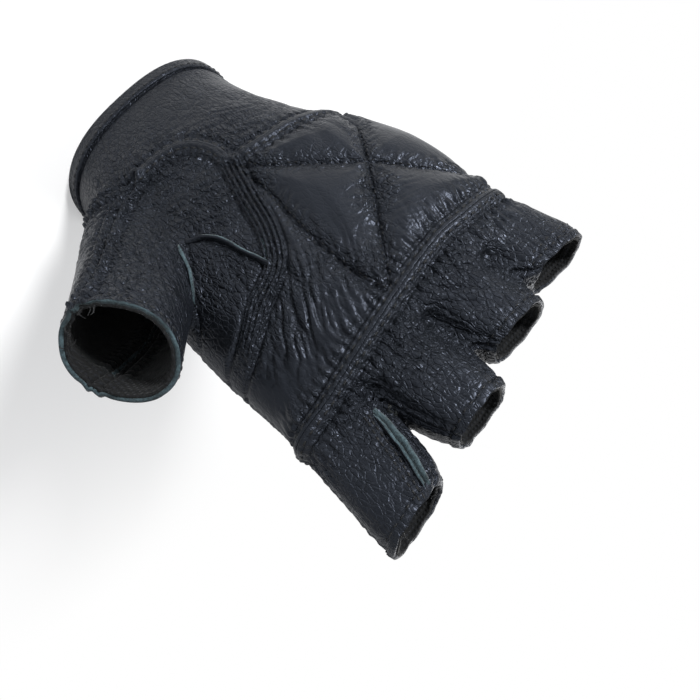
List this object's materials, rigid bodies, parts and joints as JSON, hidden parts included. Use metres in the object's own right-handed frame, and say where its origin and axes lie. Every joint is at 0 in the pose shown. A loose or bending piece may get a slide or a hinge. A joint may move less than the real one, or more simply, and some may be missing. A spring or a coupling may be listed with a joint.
{
  "type": "fingerless glove",
  "caption": "Right-hand fingerless leather glove with a quilted palm, open finger and thumb stalls and a hook-and-loop tab on the back of the wrist.",
  "frame": {"origin": "middle of the wrist opening, on the surface that the cuff edge stands on", "axes": "+Z from the cuff to the fingertips, -Y out of the palm, +X to the thumb side"},
  "size_m": [0.1197, 0.0646, 0.1575],
  "materials": {
    "leather": "black full-grain leather with a fine pebble and a soft sheen",
    "foam": "dark grey foam sheet with a cloth face",
    "tape": "black woven binding tape",
    "fastener": "black hook-and-loop fastener",
    "thread": "black polyester sewing thread"
  },
  "bodies": {
    "glove": {"palm_panel": "leather", "palm_foam": "foam", "heel_panel": "leather", "finger_panel": "leather", "thumb_front": "leather", "thumb_back": "leather", "thumb_gusset": "leather", "thumb_band": "leather", "back_panel": "leather", "cuff_back_thumb_side": "leather", "cuff_back_little_side": "leather", "fourchette_little_ring": "leather", "fourchette_ring_middle": "leather", "fourchette_middle_index": "leather", "little_hem_tape": "tape", "ring_hem_tape": "tape", "middle_hem_tape": "tape", "index_hem_tape": "tape", "thumb_hem_tape": "tape", "wrist_binding": "tape", "tab_sewn_end": "leather", "loop_patch": "fastener"},
    "tab": {"closure_tab": "leather", "hook_patch": "fastener"}
  },
  "joints": [
    {"name": "tab_fold", "type": "hinge", "parent": "glove", "child": "tab", "pos_m": [-0.023, 0.0115, 0.022], "axis": [0, -0.0599, 0.9982], "range_deg": [0, 120]}
  ]
}
